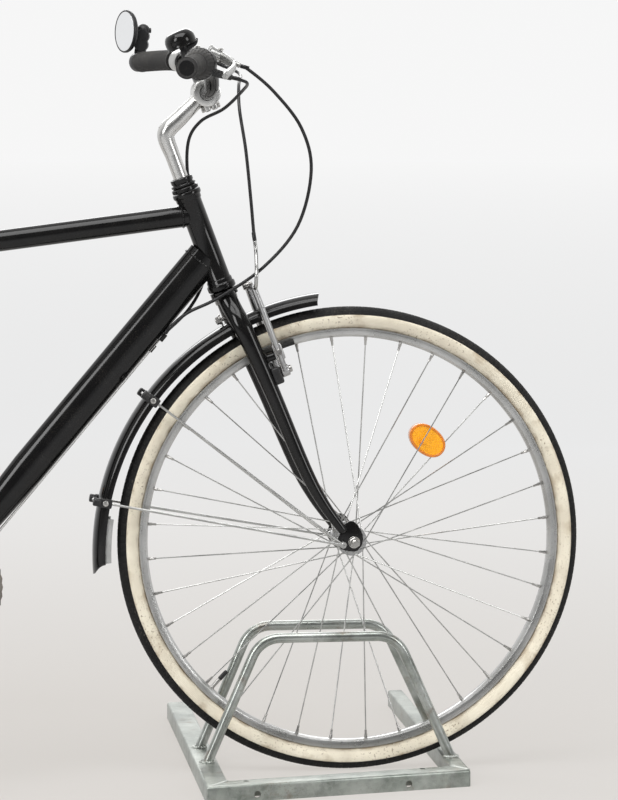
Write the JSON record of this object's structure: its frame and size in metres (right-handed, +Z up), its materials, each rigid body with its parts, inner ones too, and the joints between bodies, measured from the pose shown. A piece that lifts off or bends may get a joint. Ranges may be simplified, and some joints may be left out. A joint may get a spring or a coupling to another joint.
{
  "type": "city bicycle standing in a floor rack",
  "caption": "City bicycle with swept handlebar, mudguards, carrier and side stand, parked with its front wheel in a galvanised floor rack.",
  "frame": {"origin": "on the floor under the middle of the bicycle and its rack, taken along their length and their width", "axes": "+X forward along the bicycle, +Y to the rider's left, +Z up"},
  "size_m": [1.8041, 0.9078, 1.1369],
  "materials": {
    "gloss_black_paint": "gloss",
    "polished_aluminium": "polished",
    "satin_aluminium": "satin",
    "bright_steel": "zinc plated",
    "galvanised_zinc": "galvanised, dull",
    "charcoal_rubber": "matte",
    "tyre_rubber": "cream walls, black tread",
    "black_plastic": "satin",
    "black_vinyl": "fine grain",
    "amber_reflector": "clear amber",
    "red_reflector": "clear red"
  },
  "bodies": {
    "rack_and_fork": {"rack_base": "galvanised_zinc", "rack_hoop_right": "galvanised_zinc", "rack_hoop_left": "galvanised_zinc", "fork": "gloss_black_paint", "front_axle": "bright_steel", "headset_locknut": "gloss_black_paint", "stem": "polished_aluminium", "handlebar": "gloss_black_paint", "grip_right": "charcoal_rubber", "grip_left": "charcoal_rubber", "gear_shifter": "charcoal_rubber", "brake_lever_right": "polished_aluminium", "brake_lever_left": "polished_aluminium", "bell": "black_plastic", "mirror": "black_plastic", "front_brake_arm_right": "polished_aluminium", "front_brake_arm_left": "polished_aluminium", "front_fender": "gloss_black_paint", "front_fender_stay_upper": "bright_steel", "front_fender_stay_lower": "bright_steel", "front_brake_cable": "black_plastic", "rear_brake_cable": "black_plastic", "gear_cable": "black_plastic"},
    "front_wheel": {"front_tyre": "tyre_rubber", "front_rim": "satin_aluminium", "front_hub_and_spokes": "bright_steel", "front_wheel_reflector": "amber_reflector"},
    "frame": {"head_tube": "gloss_black_paint", "top_tube": "gloss_black_paint", "down_tube": "gloss_black_paint", "seat_tube": "gloss_black_paint", "seatpost": "polished_aluminium", "saddle": "black_vinyl", "saddle_rails": "bright_steel", "chain_stay_right": "gloss_black_paint", "chain_stay_left": "gloss_black_paint", "seat_stay_right": "gloss_black_paint", "seat_stay_left": "gloss_black_paint", "chain": "bright_steel", "rear_axle": "bright_steel", "rear_derailleur": "satin_aluminium", "rear_fender": "gloss_black_paint", "rear_fender_stay": "bright_steel", "rear_carrier": "black_plastic", "rear_reflector": "red_reflector", "rear_brake_arm_right": "polished_aluminium", "rear_brake_arm_left": "polished_aluminium"},
    "rear_wheel": {"rear_tyre": "tyre_rubber", "rear_rim": "satin_aluminium", "rear_hub_and_spokes": "bright_steel", "freewheel_cogs": "bright_steel"},
    "crankset": {"crank_right": "satin_aluminium", "crank_left": "satin_aluminium"},
    "pedal_right_body": {"pedal_right": "black_plastic"},
    "pedal_left_body": {"pedal_left": "black_plastic"},
    "stand": {"kickstand": "satin_aluminium"}
  },
  "joints": [
    {"name": "steering", "type": "hinge", "parent": "rack_and_fork", "child": "frame", "pos_m": [0.36468, -0.1611, 0.72529], "axis": [-0.3502, 0, 0.9367], "range_deg": [-60, 60], "deforming": ["rear_brake_cable", "gear_cable"]},
    {"name": "front_wheel_spin", "type": "hinge", "parent": "rack_and_fork", "child": "front_wheel", "pos_m": [0.55485, -0.1611, 0.348], "axis": [0, 1, 0], "continuous": true},
    {"name": "rear_wheel_spin", "type": "hinge", "parent": "frame", "child": "rear_wheel", "pos_m": [-0.51485, -0.1611, 0.348], "axis": [0, 1, 0], "continuous": true},
    {"name": "crank_spin", "type": "hinge", "parent": "frame", "child": "crankset", "pos_m": [-0.06865, -0.1611, 0.29], "axis": [0, 1, 0], "continuous": true},
    {"name": "pedal_right_spin", "type": "hinge", "parent": "crankset", "child": "pedal_right_body", "pos_m": [-0.06865, -0.2971, 0.12], "axis": [0, 1, 0], "continuous": true},
    {"name": "pedal_left_spin", "type": "hinge", "parent": "crankset", "child": "pedal_left_body", "pos_m": [-0.06865, -0.0251, 0.46], "axis": [0, 1, 0], "continuous": true},
    {"name": "stand_fold", "type": "hinge", "parent": "frame", "child": "stand", "pos_m": [-0.43485, -0.0791, 0.298], "axis": [-0.0091, -0.9528, -0.3036], "range_deg": [0, 98.5]}
  ]
}
